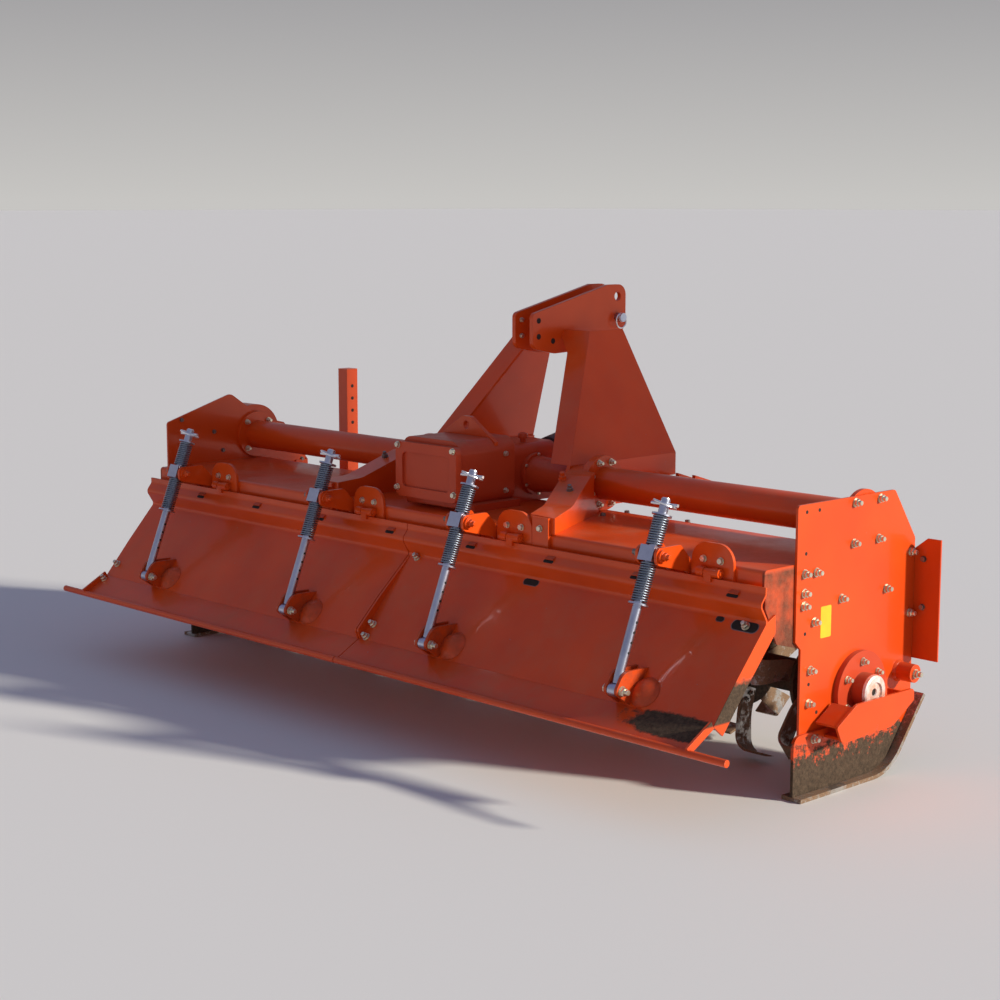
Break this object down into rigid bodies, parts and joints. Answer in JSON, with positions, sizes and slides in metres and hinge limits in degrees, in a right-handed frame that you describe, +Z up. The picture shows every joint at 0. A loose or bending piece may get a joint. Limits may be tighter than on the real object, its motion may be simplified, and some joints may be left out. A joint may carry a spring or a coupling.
{
  "type": "rotary tiller",
  "caption": "Wide rotary tiller for a rear three-point linkage, with a bladed rotor under a hood and a hinged levelling board held by spring rods.",
  "frame": {"origin": "floor level under the middle of the bounding box, on the machine's centre line", "axes": "+X to the machine's right, +Y in the direction of travel, +Z up"},
  "size_m": [3.3, 1.363, 1.415],
  "materials": {
    "orange_paint": "gloss",
    "painted_cast_iron": "satin",
    "worn_cast_iron": "worn",
    "zinc_steel": "satin",
    "spring_steel": "satin",
    "bare_steel": "satin",
    "worn_steel": "worn",
    "soil_worn_paint": "worn",
    "yellow_film": "gloss",
    "grey_plastic": "satin"
  },
  "bodies": {
    "root": {"beam_right": "orange_paint", "beam_left": "orange_paint", "shoulder_right": "orange_paint", "shoulder_left": "orange_paint", "hitch_bar": "orange_paint", "mast_leg_right": "orange_paint", "mast_leg_left": "orange_paint", "top_link_plate_right": "orange_paint", "top_link_plate_left": "orange_paint", "top_link_pin": "zinc_steel", "gearbox_housing": "painted_cast_iron", "gearbox_cover": "painted_cast_iron", "axle_trumpets": "painted_cast_iron", "lifting_eye": "orange_paint", "hood_top": "orange_paint", "hood_front": "orange_paint", "side_plate_right": "orange_paint", "side_plate_left": "orange_paint", "drive_case": "orange_paint", "drive_covers": "painted_cast_iron", "bearing_housing": "worn_cast_iron", "hub_guard": "orange_paint", "skid_soles": "worn_steel", "skid_webs": "orange_paint", "edge_angles": "orange_paint", "hitch_plates": "orange_paint", "hitch_pins": "zinc_steel", "hinge_carriers": "orange_paint", "swivel_brackets": "orange_paint", "stand_sleeve": "orange_paint", "stand_arm": "orange_paint"},
    "rotor": {"rotor_shaft": "soil_worn_paint", "tines": "worn_steel"},
    "input": {"input_shaft": "bare_steel"},
    "board": {"board_right": "orange_paint", "board_left": "orange_paint", "lip_right": "orange_paint", "lip_left": "orange_paint", "board_lugs": "orange_paint", "hinge_leaves": "orange_paint"},
    "rods": {"spring_rods": "zinc_steel", "springs_lower": "spring_steel"},
    "swivels": {"swivel_blocks": "zinc_steel", "springs_upper": "spring_steel"},
    "stand": {"stand_post": "orange_paint"}
  },
  "joints": [
    {"name": "rotor_spin", "type": "hinge", "parent": "root", "child": "rotor", "pos_m": [0, 0.1055, 0.279], "axis": [-1, 0, 0], "continuous": true},
    {"name": "input_spin", "type": "hinge", "parent": "root", "child": "input", "pos_m": [0, 0.2345, 0.805], "axis": [0, 1, 0], "continuous": true},
    {"name": "board_swing", "type": "hinge", "parent": "root", "child": "board", "pos_m": [0, -0.354, 0.665], "axis": [-1, 0, 0], "range_deg": [0, 30], "deforming": ["springs_lower"]},
    {"name": "rod_pivot", "type": "hinge", "parent": "board", "child": "rods", "pos_m": [0, -0.6005, 0.339], "axis": [-1, 0, 0], "range_deg": [0, 1.5]},
    {"name": "swivel_turn", "type": "hinge", "parent": "root", "child": "swivels", "pos_m": [0, -0.4539, 0.71117], "axis": [-1, 0, 0], "range_deg": [0, 31.5]},
    {"name": "stand_slide", "type": "slide", "parent": "root", "child": "stand", "axis": [0, 0, -1], "range_m": [0, 0.395]}
  ],
  "couplings": [
    {"joint": "input_spin", "follows": "rotor_spin", "ratio": 4.17},
    {"joint": "rod_pivot", "follows": "board_swing", "ratio": 0.049},
    {"joint": "swivel_turn", "follows": "board_swing", "ratio": 1.049}
  ]
}
